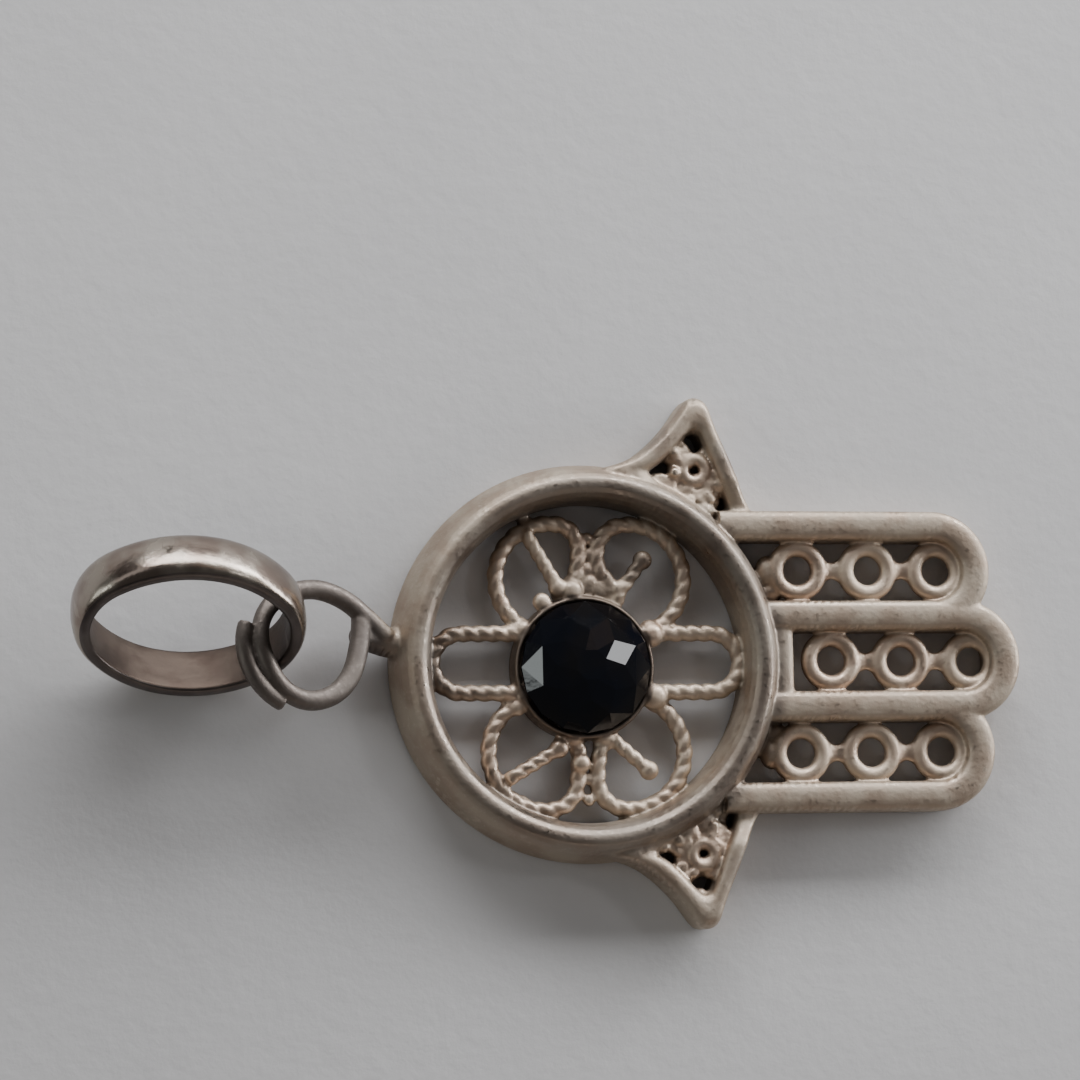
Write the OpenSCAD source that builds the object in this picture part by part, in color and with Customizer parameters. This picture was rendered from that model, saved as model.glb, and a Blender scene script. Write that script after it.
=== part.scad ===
// Filigree hand pendant: a cast silver hand with a ring for its palm, three
// round-ended fingers, two pointed thumbs, a wire flower round a dark cut stone,
// and an oval bail linked through the hanging loop.
// It lies on its back at z = 0. The origin is the middle of the palm on the back,
// and the fingers point along +X.

/* [Palm ring] */
// Outer radius of the palm ring at its back
palm_outer_r = 6.25; // [6.1:0.05:6.4]
// Inner radius of the palm ring at its back
palm_inner_r = 4.95; // [4.85:0.05:5]
// Radius of the middle of the crown along its front
palm_crown_r = 5.46; // [5.4:0.02:5.5]
// Height of the palm ring, back to front
palm_h = 1.7; // [1.6:0.05:1.9]

/* [Fingers] */
// Distance between the rails on either side of a finger, centre to centre
finger_pitch = 2.84; // [2.8:0.02:2.9]
// Place of the round end of the middle finger
middle_tip_x = 12.05; // [11.8:0.05:12.4]
// Place of the round ends of the two outer fingers
outer_tip_x = 11.15; // [11:0.05:11.4]
// Width of a rail at the back
rail_w = 0.98; // [0.94:0.02:1.04]
// Height of a rail, back to crown
rail_h = 1.4; // [1.3:0.05:1.5]

/* [Finger rings] */
// Outside diameter of a small round ring
ring_d = 1.92; // [1.9:0.01:1.96]
// Wire thickness of a small round ring
ring_wire = 0.48; // [0.44:0.02:0.52]
// Step from one small ring to the next
ring_pitch = 2.29; // [2.26:0.01:2.32]
// Height of the middle of the ring wire above the back
ring_z = 0.62; // [0.55:0.01:0.7]

/* [Thumbs] */
// How far along the fingers the thumb points lie
thumb_tip_x = 3.55; // [3.4:0.05:3.7]
// How far the thumb points reach out from the middle line
thumb_reach = 8.3; // [8.1:0.05:8.5]
// Height of the thumbs, back to front
thumb_h = 1.5; // [1.4:0.05:1.6]

/* [Flower] */
// Thickness of the flower wire
flower_wire = 0.48; // [0.44:0.02:0.5]
// Height of the middle of the flower wire above the back
flower_z = 0.5; // [0.45:0.01:0.55]
// Half the width of the two long petals, wire middle to wire middle
petal_half_w = 0.92; // [0.88:0.02:0.96]
// Radius of the outer sweep of a scroll lobe
lobe_r = 1.88; // [1.86:0.01:1.92]
// Radius of the curl at the end of a scroll lobe
curl_r = 1.1; // [1.04:0.02:1.12]

/* [Stone and seat] */
// Diameter of the stone
stone_d = 4.1; // [3.9:0.05:4.2]
// Outside diameter of the stone's seat
seat_d = 4.6; // [4.5:0.05:4.8]
// Height of the seat rim above the back
seat_h = 1.1; // [1:0.05:1.2]
// How far the crown of the stone stands over the seat rim
stone_rise = 0.78; // [0.7:0.02:0.85]

/* [Hanging loop] */
// Radius of the loop, to the middle of its wire
loop_r = 1.7; // [1.68:0.01:1.72]
// Wire thickness of the loop
loop_wire = 0.56; // [0.52:0.01:0.58]
// Rise of the loop towards its free end
loop_rise = 15; // [14:1:16]
// Roll of the loop about the line of the hand
loop_roll = -12; // [-13:1:-11]

/* [Bail] */
// Outside length of the bail
bail_len = 7.12; // [7.1:0.01:7.2]
// Outside width of the bail
bail_wide = 5.58; // [5.5:0.01:5.7]
// Width of the bail's band
bail_band = 1.7; // [1.6:0.02:1.72]
// Thickness of the bail's band at the middle of its dome
bail_t = 0.54; // [0.48:0.01:0.56]
// Lean of the bail, as it rests against the loop
bail_lean = 50; // [50:1:52]
// Turn of the long axis in the bail's own plane
bail_turn = -8.3; // [-9:0.1:-8]

/* [Hidden] */
$fn = 64;
silver = [0.62, 0.58, 0.53];
stone_black = [0.05, 0.06, 0.08];
sides = [1, -1];

// Across a rail, from its middle: half width, and height for each corner
rail_steps = [
    [rail_w / 2, 0],
    [rail_w / 2, rail_h * 0.6],
    [rail_w * 0.44, rail_h * 0.83],
    [rail_w * 0.13, rail_h * 0.98],
    [rail_w * 0.06, rail_h]
];
// The outer fingers are a little slimmer, so they run cleanly into the shared rails
slim = 0.96;
finger_r = finger_pitch / 2;
finger_y = finger_pitch;
// Foot of the middle finger, against the palm ring
root_x = 6.55;
root_h = rail_h * 0.9;
root_from = palm_crown_r + 0.3;
// Where the rails start inside the palm ring
inner_rail_from = palm_crown_r - 0.3;
outer_rail_from = 3.95;
// Last ring of a row, measured from the round end of its finger
outer_ring_in = 0.2;
middle_ring_in = 0.32;
// Solder between two neighbouring rings
solder_reach = ring_d * 0.42;
solder_z = ring_z - 0.08;
solder_d = 0.5;

// Palm ring section: radius and height
palm_section = [
    [palm_inner_r, 0],
    [palm_outer_r - 0.05, 0],
    [palm_outer_r, 0.3],
    [palm_outer_r - 0.08, 0.7],
    [palm_crown_r + 0.44, palm_h * 0.82],
    [palm_crown_r + 0.26, palm_h * 0.96],
    [palm_crown_r + 0.12, palm_h],
    [palm_crown_r - 0.12, palm_h],
    [palm_crown_r - 0.25, palm_h * 0.95],
    [palm_inner_r + 0.08, palm_h * 0.72]
];

// Thumb outline: where it leaves the palm, its shoulders and its foot at the finger rail
thumb_root = [0.35, 6.0];
thumb_foot = [5.7, 4.75];
thumb_nose_r = 0.46;
thumb_nose = [thumb_tip_x, thumb_reach - thumb_nose_r];
thumb_ring_at = [3.42, 6.02, ring_z];
thumb_ring_r = 0.4;
thumb_ring_wire = 0.4;
thumb_bead_at = [3.05, 5.45, 0.2];
thumb_bead_d = 0.8;
thumb_bead_h = 0.7;
// Solder from the small ring to the two sides of the thumb, and from the bead to its root
thumb_ties = [
    [[3.1, 6.36, ring_z - 0.05], [2.5, 6.8, ring_z - 0.05]],
    [[3.84, 6.02, ring_z - 0.05], [4.5, 6.1, ring_z - 0.05]],
    [[2.9, 5.6, ring_z - 0.05], [1.5, 5.7, ring_z - 0.05]]
];
thumb_tie_wire = 0.46;

// Flower lobe, in the quarter between +X and +Y
lobe_at = [1.38, 2.6];
lobe_sweep = 156;
curl_at = lobe_at + [0, lobe_r - curl_r];
lobe_z = flower_z - 0.06;
petal_z = flower_z + 0.1;
petal_tip_x = 4.12;
petal_from_x = 1.4;
stem_to_y = 1.4;
// The four inner strands: where each starts, in the seat or in a lobe, and where its bead sits
strands = [
    [[0.75, 1.75], [1.84, 3.22]],
    [[-2.0, 4.26], [-0.85, 2.25]],
    [[-2.75, -3.68], [-0.93, -2.55]],
    [[0.64, -2.12], [1.89, -3.38]]
];
strand_z = lobe_z + 0.2;
strand_wire = 0.38;
strand_bead = 0.6;
// A loose grain of solder between the two lower lobes
grain_at = [-0.28, -3.05];
grain_d = 0.54;

stone_r = stone_d / 2;
// The stone and its seat sit a little off the middle of the palm
stone_off = [-0.14, -0.16];
seat_gap = 0.03;
seat_floor = 0.4;
girdle_h = 0.14;
girdle_z = seat_h - girdle_h;
// Crown of the stone: the kites lean kite_lean from the table's plane, out to kite_r
kite_lean = 17;
table_r = stone_r * 0.24;
star_r = stone_r * 0.53;
kite_r = stone_r * 0.78;
table_z = seat_h + stone_rise;
star_z = table_z - (star_r * cos(22.5) - table_r) * tan(kite_lean);
kite_z = table_z - (kite_r - table_r) * tan(kite_lean);
stone_foot_r = stone_r * 0.62;

// Centre of the loop, and the solder neck that joins it to the palm ring
loop_at = [-9.05, 0.45, 1.77];
neck = [[-7.42, 0.82, 1.36], [-5.75, 0.78, 0.8]];
neck_d = 0.8;

// Bail: an oval of four arcs, tangent to each other
bail_at = [-12.64, 1.27];
bail_a = bail_len / 2;
bail_b = bail_wide / 2;
bail_end_r = 2.3;
bail_end_c = bail_a - bail_end_r;
bail_side_r = (pow(bail_end_c, 2) + pow(bail_b, 2) - pow(bail_end_r, 2)) / (2 * (bail_b - bail_end_r));
bail_side_c = bail_side_r - bail_b;
bail_join = atan(bail_side_c / bail_end_c);
// Corners of the band's section: depth under the dome, and height along the hole
bail_half = bail_band / 2;
bail_upper = [
    [0.015, bail_half * 0.45],
    [0.05, bail_half * 0.78],
    [0.1, bail_half * 0.94],
    [0.18, bail_half],
    [bail_t - 0.08, bail_half],
    [bail_t, bail_half - 0.08]
];
bail_section = concat(
    [[0, 0]],
    bail_upper,
    [for (i = [len(bail_upper) - 1 : -1 : 0]) [bail_upper[i][0], -bail_upper[i][1]]]
);
oval = concat(
    oval_steps([bail_end_c, 0], bail_end_r, -bail_join, bail_join, 18),
    oval_steps([0, -bail_side_c], bail_side_r, bail_join, 180 - bail_join, 14),
    oval_steps([-bail_end_c, 0], bail_end_r, 180 - bail_join, 180 + bail_join, 18),
    oval_steps([0, bail_side_c], bail_side_r, 180 + bail_join, 360 - bail_join, 14)
);
band_points = [for (step = oval, corner = bail_section)
    concat(step[0] + (step[1] - corner[0]) * [cos(step[2]), sin(step[2])], corner[1])];
// Height of the bail's centre at which its lowest corner just rests at z = 0
bail_rest = -min([for (p = band_points)
    (p[0] * sin(bail_turn) + p[1] * cos(bail_turn)) * sin(bail_lean) + p[2] * cos(bail_lean)]);

// Points on the arc from a to b that bows to the left of that line by sag
function arc_points(a, b, sag, n = 8) =
    let (d = b - a, len = norm(d), r = (len * len / 4 + sag * sag) / (2 * sag))
    let (side = [-d[1], d[0]] / len, c = (a + b) / 2 + side * (sag - r))
    let (start = atan2(a[1] - c[1], a[0] - c[0]), half = asin(len / (2 * abs(r))))
    [for (i = [0 : n]) c + abs(r) * [
        cos(start - sign(sag) * 2 * half * i / n),
        sin(start - sign(sag) * 2 * half * i / n)
    ]];

function turn_points(c, r, from, to, n = 10) =
    [for (i = [0 : n]) c + r * [cos(from + (to - from) * i / n), sin(from + (to - from) * i / n)]];

// Steps along one arc of an oval: centre, radius and direction of each
function oval_steps(c, r, from, to, n) =
    [for (i = [0 : n - 1]) [c, r, from + (to - from) * i / n]];

function rail_profile(k = 1) = concat(
    [for (s = rail_steps) [s[0], s[1]] * k],
    [for (i = [len(rail_steps) - 1 : -1 : 0]) [-rail_steps[i][0], rail_steps[i][1]] * k]
);

// A ring of round wire lying flat, whole or part
module wire_ring(r, wire, from = 0, sweep = 360) {
    rotate([0, 0, from])
        rotate_extrude(angle = sweep)
            translate([r, 0])
                circle(d = wire, $fn = 48);
}

// A straight round wire between two places
module wire_bar(a, b, wire) {
    d = b - a;
    translate(a)
        rotate([0, acos(d[2] / norm(d)), atan2(d[1], d[0])])
            cylinder(d = wire, h = norm(d), $fn = 48);
}

module palm_ring() {
    rotate_extrude($fn = 128)
        polygon(palm_section);
}

module rail(y, from_x, to_x, k = 1) {
    translate([from_x, y, 0])
        rotate([90, 0, 90])
            linear_extrude(to_x - from_x)
                polygon(rail_profile(k));
}

module finger_tip(x, y, k = 1) {
    translate([x, y, 0])
        rotate([0, 0, -90])
            rotate_extrude(angle = 180)
                translate([finger_r, 0])
                    polygon(rail_profile(k));
}

module finger_frames() {
    for (s = sides) {
        rail(s * finger_r, inner_rail_from, middle_tip_x);
        rail(s * (finger_y + finger_r), outer_rail_from, outer_tip_x, slim);
        finger_tip(outer_tip_x, s * finger_y, slim);
    }
    finger_tip(middle_tip_x, 0);
    translate([root_from, -finger_r, 0])
        cube([root_x - root_from, finger_pitch, root_h]);
}

// Three small rings in a row, soldered to each other and to the rails
module finger_ring_row(first_x, y) {
    for (i = [0 : 2])
        translate([first_x + i * ring_pitch, y, ring_z])
            wire_ring((ring_d - ring_wire) / 2, ring_wire);
    for (i = [0 : 1])
        wire_bar(
            [first_x + i * ring_pitch + solder_reach, y, solder_z],
            [first_x + (i + 1) * ring_pitch - solder_reach, y, solder_z],
            solder_d
        );
}

module finger_rings() {
    for (s = sides)
        finger_ring_row(outer_tip_x + outer_ring_in - 2 * ring_pitch, s * finger_y);
    finger_ring_row(middle_tip_x + middle_ring_in - 2 * ring_pitch, 0);
}

module thumb_plate() {
    left_shoulder = thumb_nose + thumb_nose_r * [cos(128), sin(128)];
    right_shoulder = thumb_nose + thumb_nose_r * [cos(18), sin(18)];
    outline = concat(
        arc_points(thumb_root, left_shoulder, -0.2),
        turn_points(thumb_nose, thumb_nose_r, 128, 18),
        arc_points(right_shoulder, thumb_foot, -0.14),
        [[5.2, 4.3], [4.2, 4.1], [2.4, 5.15], [0.4, 5.6]]
    );
    hole = concat(
        arc_points([1.45, 6.05], [3.32, 7.22], -0.08),
        turn_points([3.56, 7.1], 0.24, 130, 20, 5),
        [[4.68, 4.95], [4.62, 4.35], [4.2, 4.35], [2.6, 5.1], [1.4, 5.6]]
    );
    linear_extrude(thumb_h)
        difference() {
            polygon(outline);
            polygon(hole);
        }
}

// The small ring, its ties and a bead that fill the thumb
module thumb_filigree() {
    translate(thumb_ring_at)
        wire_ring(thumb_ring_r, thumb_ring_wire);
    for (tie = thumb_ties)
        wire_bar(tie[0], tie[1], thumb_tie_wire);
    translate(thumb_bead_at)
        cylinder(d = thumb_bead_d, h = thumb_bead_h);
}

module thumbs() {
    thumb_plate();
    thumb_filigree();
    mirror([0, 1, 0]) {
        thumb_plate();
        thumb_filigree();
    }
}

// One of the two long petals that point to the fingers and to the loop
module long_petal() {
    translate([0, 0, petal_z]) {
        for (s = sides)
            wire_bar([petal_from_x, s * petal_half_w, 0], [petal_tip_x, s * petal_half_w, 0], flower_wire);
        translate([petal_tip_x, 0, 0])
            wire_ring(petal_half_w, flower_wire, -90, 180);
    }
}

// A scroll lobe: a wide sweep and a curl back to the seat
module scroll_lobe() {
    translate([0, 0, lobe_z]) {
        translate(lobe_at)
            wire_ring(lobe_r, flower_wire, 90, -lobe_sweep);
        translate(curl_at)
            wire_ring(curl_r, flower_wire, 90, 90);
        wire_bar([curl_at[0] - curl_r, curl_at[1], 0], [curl_at[0] - curl_r, stem_to_y, 0], flower_wire);
    }
}

// A short wire inside a lobe, with a bead at its end
module inner_strand(from, to) {
    wire_bar(concat(from, strand_z), concat(to, strand_z), strand_wire);
    translate(concat(to, strand_z))
        sphere(d = strand_bead, $fn = 48);
}

module flower() {
    for (mx = [0, 1], my = [0, 1])
        mirror([mx, 0, 0])
            mirror([0, my, 0])
                scroll_lobe();
    for (s = strands)
        inner_strand(s[0], s[1]);
    translate(concat(grain_at, strand_z))
        sphere(d = grain_d, $fn = 48);
    long_petal();
    mirror([1, 0, 0])
        long_petal();
}

// The flower's wires end in the wall of the stone's seat
module flower_and_seat() {
    difference() {
        union() {
            flower();
            translate([stone_off[0], stone_off[1], 0])
                cylinder(d = seat_d, h = seat_h);
        }
        translate([stone_off[0], stone_off[1], seat_floor])
            cylinder(r = stone_r + seat_gap, h = seat_h);
    }
}

module hanging_loop() {
    translate(loop_at)
        rotate([loop_roll, 0, 0])
            rotate([0, loop_rise, 0])
                wire_ring(loop_r, loop_wire);
    // Solder neck between the loop and the palm ring
    wire_bar(neck[0], neck[1], neck_d);
}

module hand() {
    color(silver) {
        palm_ring();
        finger_frames();
        finger_rings();
        thumbs();
        flower_and_seat();
        hanging_loop();
    }
}

// Cut stone: a small eight-sided table, stars and kites round it, a girdle and a short pavilion
module stone() {
    // Where each round of corners starts in the list of points
    star = 8;
    kite = 16;
    rim = 24;
    low = 40;
    foot = 56;
    next = function (i) (i + 1) % 8;
    round_of = function (n, r, z, shift) [for (i = [0 : n - 1]) [
        r * cos(360 * i / n + shift), r * sin(360 * i / n + shift), z
    ]];
    points = concat(
        round_of(8, table_r, table_z, 22.5),
        round_of(8, star_r, star_z, 0),
        round_of(8, kite_r, kite_z, 22.5),
        round_of(16, stone_r, seat_h, 0),
        round_of(16, stone_r, girdle_z, 0),
        round_of(8, stone_foot_r, seat_floor + seat_gap, 22.5)
    );
    faces = concat(
        [[for (i = [7 : -1 : 0]) i]],
        [for (i = [0 : 7]) [i, next(i), star + next(i)]],
        [for (i = [0 : 7]) [star + i, i, star + next(i), kite + i]],
        [for (i = [0 : 7]) [star + next(i), kite + next(i), kite + i]],
        [for (i = [0 : 7]) [kite + i, kite + next(i), rim + 2 * next(i)]],
        [for (i = [0 : 7]) [kite + i, rim + 2 * i + 1, rim + 2 * i]],
        [for (i = [0 : 7]) [kite + i, rim + 2 * next(i), rim + 2 * i + 1]],
        [for (i = [0 : 15]) [rim + i, rim + (i + 1) % 16, low + (i + 1) % 16, low + i]],
        [for (i = [0 : 7]) [low + 2 * i, low + 2 * i + 1, foot + i]],
        [for (i = [0 : 7]) [low + 2 * i + 1, low + (2 * i + 2) % 16, foot + i]],
        [for (i = [0 : 7]) [low + (2 * i + 2) % 16, foot + next(i), foot + i]],
        [[for (i = [0 : 7]) foot + i]]
    );
    color(stone_black)
        translate([stone_off[0], stone_off[1], 0])
            polyhedron(points, faces);
}

// An oval band with a domed outside and a flat inside, its hole along Z
module oval_band() {
    n = len(oval);
    m = len(bail_section);
    faces = [for (i = [0 : n - 1], j = [0 : m - 1]) [
        i * m + j,
        i * m + (j + 1) % m,
        (i + 1) % n * m + (j + 1) % m,
        (i + 1) % n * m + j
    ]];
    polyhedron(band_points, faces);
}

module bail() {
    color(silver)
        translate([bail_at[0], bail_at[1], bail_rest])
            rotate([bail_lean, 0, 0])
                rotate([0, 0, bail_turn])
                    oval_band();
}

hand();
stone();
bail();
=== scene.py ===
"""Filigree hand pendant, lying on pale paper.

The silver hand is built from closed shells that are melted into one skin, the bail is a band swept round an
oval, and the stone keeps the CAD part's own facets. Lengths are millimetres in the pendant's frame, with +X
towards the fingertips, +Z up and the origin on the paper, in the middle of the palm. Paper, lights and camera
are placed in metres.
"""

import math
import bpy
import numpy as np
from mathutils import Matrix, Vector


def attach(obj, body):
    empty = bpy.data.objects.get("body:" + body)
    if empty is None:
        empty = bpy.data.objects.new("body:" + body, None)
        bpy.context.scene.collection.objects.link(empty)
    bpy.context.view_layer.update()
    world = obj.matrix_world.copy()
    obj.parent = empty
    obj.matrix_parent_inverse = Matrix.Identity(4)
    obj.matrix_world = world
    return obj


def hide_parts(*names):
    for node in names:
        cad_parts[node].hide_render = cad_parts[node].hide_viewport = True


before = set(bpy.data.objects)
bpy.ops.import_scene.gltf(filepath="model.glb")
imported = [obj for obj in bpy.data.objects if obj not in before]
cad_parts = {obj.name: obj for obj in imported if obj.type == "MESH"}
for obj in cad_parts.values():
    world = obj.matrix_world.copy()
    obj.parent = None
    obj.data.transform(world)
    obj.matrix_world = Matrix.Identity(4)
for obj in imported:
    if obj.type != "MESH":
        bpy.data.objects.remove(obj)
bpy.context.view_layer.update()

MM = 0.001
UP = np.array([0.0, 0.0, 1.0])
BOTH_SIDES = (1, -1)
rng = np.random.default_rng(11)


def random_phase():
    return rng.uniform(0, 6)


# Lines and closed shells: a shell's builder returns its points and faces

def line(a, b, n):
    return np.linspace(np.asarray(a, float), np.asarray(b, float), n)


def arc(c, r, a0, a1, z=0.0, n=40):
    """A level arc round c, from a0 to a1 degrees."""
    a = np.radians(np.linspace(a0, a1, n))
    return np.c_[c[0] + r * np.cos(a), c[1] + r * np.sin(a), np.full(n, z)]


def smooth_curve(points, per=8):
    """A Catmull-Rom curve through a few places, with this many steps from each to the next."""
    p = np.asarray(points, float)
    q = np.vstack([2 * p[0] - p[1], p, 2 * p[-1] - p[-2]])
    out = []
    for i in range(1, len(q) - 2):
        t = np.linspace(0, 1, per, endpoint=False)[:, None]
        a, b, c, d = q[i - 1:i + 3]
        out.append(0.5 * (2 * b + (c - a) * t + (2 * a - 5 * b + 4 * c - d) * t * t
                          + (3 * b - a - 3 * c + d) * t ** 3))
    return np.vstack(out + [p[-1:]])


def length_along(p):
    return np.r_[0, np.cumsum(np.linalg.norm(np.diff(p, axis=0), axis=1))]


def resample(path, step, loop=False):
    """The path with points about one step apart."""
    p = np.asarray(path, float)
    if loop:
        p = np.vstack([p, p[:1]])
    d = length_along(p)
    n = max(4, int(round(d[-1] / step)))
    t = np.linspace(0, d[-1], n + 1)
    q = np.stack([np.interp(t, d, p[:, k]) for k in range(3)], 1)
    return q[:-1] if loop else q


def tangents(p, loop):
    t = np.roll(p, -1, 0) - np.roll(p, 1, 0) if loop else np.gradient(p, axis=0)
    return t / np.linalg.norm(t, axis=1, keepdims=True)


def carried_frames(p, loop):
    """Two directions across the path at each point, carried along it without twist."""
    t = tangents(p, loop)
    steep = abs(t[0][2]) >= 0.9
    a = np.cross(t[0], [1, 0, 0] if steep else UP)
    side = [a / np.linalg.norm(a)]
    for i in range(1, len(p)):
        a = side[-1] - t[i] * np.dot(side[-1], t[i])
        side.append(a / np.linalg.norm(a))
    side = np.array(side)
    return side, np.cross(t, side)


def strip(rings, loop):
    """Joins rings of points, an array (rings, points, 3), into a closed surface. An open row gets caps."""
    n, m = rings.shape[:2]
    f = []
    for i in range(n if loop else n - 1):
        a, b = i * m, (i + 1) % n * m
        for j in range(m):
            k = (j + 1) % m
            f.append((a + j, b + j, b + k, a + k))
    if not loop:
        f.append(tuple(range(m)))
        f.append(tuple(range(n * m - 1, (n - 1) * m - 1, -1)))
    return rings.reshape(-1, 3), f


def sweep(path, section):
    """An upright section of (left, up) points drawn along a level path."""
    p = np.asarray(path, float)
    left = np.cross(UP, tangents(p, False))
    left /= np.linalg.norm(left, axis=1, keepdims=True)
    s = np.asarray(section, float)
    return strip(p[:, None] + left[:, None] * s[None, :, :1] + UP * s[None, :, 1:], False)


def tube(path, r, loop=False, sides=14, round_ends=True):
    """A round wire. The radius r is one number, or one for each point."""
    p = np.asarray(path, float)
    r = np.broadcast_to(np.asarray(r, float), (len(p),)).copy()
    if not loop and round_ends:
        t = tangents(p, False)
        reach = np.sin(np.radians([20, 45, 70, 90]))
        shrink = np.cos(np.radians([20, 45, 70, 86]))
        p = np.vstack([p[0] - t[0] * r[0] * reach[::-1, None], p, p[-1] + t[-1] * r[-1] * reach[:, None]])
        r = np.r_[r[0] * shrink[::-1], r, r[-1] * shrink]
    a, b = carried_frames(p, loop)
    turn = np.linspace(0, 2 * np.pi, sides, endpoint=False)
    ring = a[:, None] * np.cos(turn)[None, :, None] + b[:, None] * np.sin(turn)[None, :, None]
    return strip(p[:, None] + ring * r[:, None, None], loop)


def ball(c, r, squash, n=10):
    """A ball of n rows, stretched along the three axes by squash."""
    u = np.linspace(0, np.pi, n + 2)[1:-1]
    w = np.linspace(0, 2 * np.pi, 2 * n, endpoint=False)
    rows = np.stack([
        np.sin(u)[:, None] * np.cos(w)[None], np.sin(u)[:, None] * np.sin(w)[None],
        np.repeat(np.cos(u)[:, None], 2 * n, 1)], 2)
    return strip(np.asarray(c) + rows[::-1] * r * np.asarray(squash), False)


def lathe(profile, centre=(0, 0), n=200, wobble=0.0, wavy_above=0.9):
    """A closed section of (radius, height) turned round an upright axis. Its top may wobble in height."""
    s = np.asarray(profile, float)
    a = np.linspace(0, 2 * np.pi, n, endpoint=False)
    wave = 1 + wobble * (np.sin(3 * a + 1) + 0.6 * np.sin(7 * a + 2) + 0.4 * np.sin(13 * a))
    rows = np.stack([
        centre[0] + np.cos(a)[:, None] * s[None, :, 0],
        centre[1] + np.sin(a)[:, None] * s[None, :, 0],
        np.repeat(s[None, :, 1], n, 0) * np.where(s[None, :, 1] > wavy_above, wave[:, None], 1)], 2)
    return strip(rows, True)


class Shells:
    """Collects the points and faces of many closed shells."""

    def __init__(self):
        self.v, self.f, self.n = [], [], 0

    def add(self, v, f):
        self.v.append(np.asarray(v, float))
        self.f += [tuple(i + self.n for i in face) for face in f]
        self.n += len(v)

    def mesh(self, name):
        me = bpy.data.meshes.new(name)
        me.from_pydata(np.vstack(self.v).tolist(), [], self.f)
        me.validate()
        return me


hand = Shells()


def grain(x, y, z, r, squash=(1, 1, 0.9)):
    """A drop of solder."""
    hand.add(*ball((x, y, z), r, squash))


# Palm ring: radius and height round its section

PALM = (
    (4.97, 0.02), (4.97, 0.6), (5.02, 1.08), (5.1, 1.36), (5.23, 1.56), (5.38, 1.66), (5.53, 1.69),
    (5.68, 1.65), (5.83, 1.51), (5.98, 1.24), (6.12, 0.8), (6.22, 0.35), (6.2, 0.05), (6.1, 0.02),
)
hand.add(*lathe(PALM, wobble=0.004))

# Fingers: three rails bent round the tips, and a foot across the middle finger

FINGER_PITCH = 2.84
TIP_R = FINGER_PITCH / 2
MIDDLE_TIP_X = 12.05
OUTER_TIP_X = 11.15
# Where a rail starts, sunk in the palm ring: next to the middle finger, and at the side of the hand
ROOT_X = 5.6
SIDE_ROOT_X = 4.2
FOOT_X = 6.1
FOOT_HALF_W = 1.5
# Size of the other rails' sections against the middle finger's
OUTER_RAIL = 0.98
FOOT_RAIL = 0.92
# Right half of a rail's section: distance from its middle, and height
HALF_RAIL = (
    (0.475, 0.02), (0.484, 0.96), (0.468, 1.14), (0.415, 1.27), (0.3, 1.35), (0.14, 1.385), (0.04, 1.39),
)


def rail_section(size):
    whole = HALF_RAIL + tuple((-x, z) for x, z in HALF_RAIL[::-1])
    return np.array(whole)[::-1] * size


def finger_frame(lower_x, upper_x, tip_x, y, size=1.0):
    """A rail that runs out below y, round the tip and back above y."""
    path = np.vstack([line((lower_x, y - TIP_R, 0), (tip_x, y - TIP_R, 0), 60)[:-1],
                      arc((tip_x, y), TIP_R, -90, 90, n=36),
                      line((tip_x, y + TIP_R, 0), (upper_x, y + TIP_R, 0), 60)[1:]])
    return sweep(path, rail_section(size))


hand.add(*finger_frame(ROOT_X, ROOT_X, MIDDLE_TIP_X, 0))
hand.add(*finger_frame(ROOT_X, SIDE_ROOT_X, OUTER_TIP_X, FINGER_PITCH, OUTER_RAIL))
hand.add(*finger_frame(SIDE_ROOT_X, ROOT_X, OUTER_TIP_X, -FINGER_PITCH, OUTER_RAIL))
foot = line((FOOT_X, -FOOT_HALF_W, 0), (FOOT_X, FOOT_HALF_W, 0), 20)
hand.add(*sweep(foot, rail_section(FOOT_RAIL)))

# Nine wire rings, three in each finger, soldered to the rails and to each other

RING_R = 0.71
RING_WIRE = 0.268
RING_STEP = 2.29
RING_Z = 0.75
RING_POINTS = 46
RING_ROWS = (
    # y of the row, x of its last ring
    (0, MIDDLE_TIP_X + 0.35),
    (FINGER_PITCH + 0.03, OUTER_TIP_X + 0.22),
    (-FINGER_PITCH - 0.03, OUTER_TIP_X + 0.22),
)
# How much the rings differ in place, in level and in the radius of their wire
RING_SHIFT, RING_TILT, WIRE_CHANGE = 0.015, 0.02, 0.004
# Solder between a ring and its rails: distance from the ring's middle, how much lower, radius and stretch
RAIL_SOLDER = (0.95, 0.06, 0.24, (1.5, 0.7, 1.0))
# Web from one ring to the next: its ends, measured back from the second ring, waist radius and flare
WEB_FROM, WEB_TO = 1.55, 0.74
WEB_WAIST, WEB_FLARE = 0.27, 0.24
WEB_POINTS = 11
WEB_FLATTENING = 0.5
WEB_Z = RING_Z - 0.02


def add_ring(x, y):
    """One ring, a little out of place and out of level, with solder at the two rails."""
    dx, dy = rng.normal(0, RING_SHIFT, 2)
    ring = arc((x + dx, y + dy), RING_R, 0, 352, RING_Z, RING_POINTS)
    ring[:, 2] += RING_TILT * np.sin(np.linspace(0, 2 * np.pi, RING_POINTS) + random_phase())
    hand.add(*tube(ring, RING_WIRE + rng.normal(0, WIRE_CHANGE), loop=True, sides=16))
    away, lower, r, stretch = RAIL_SOLDER
    for side in (-1, 1):
        grain(x + dx, y + dy + side * away, RING_Z - lower, r, stretch)


def add_web(x, y):
    """Solder drawn out between the ring at x and the one before it, thick at its ends and flattened."""
    flare = WEB_FLARE * np.abs(np.linspace(-1, 1, WEB_POINTS)) ** 1.5
    middle = line((x - WEB_FROM, y, 0), (x - WEB_TO, y, 0), WEB_POINTS)
    v, f = tube(middle, WEB_WAIST + flare, sides=18, round_ends=False)
    hand.add(v * (1, 1, WEB_FLATTENING) + (0, 0, WEB_Z), f)


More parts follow.
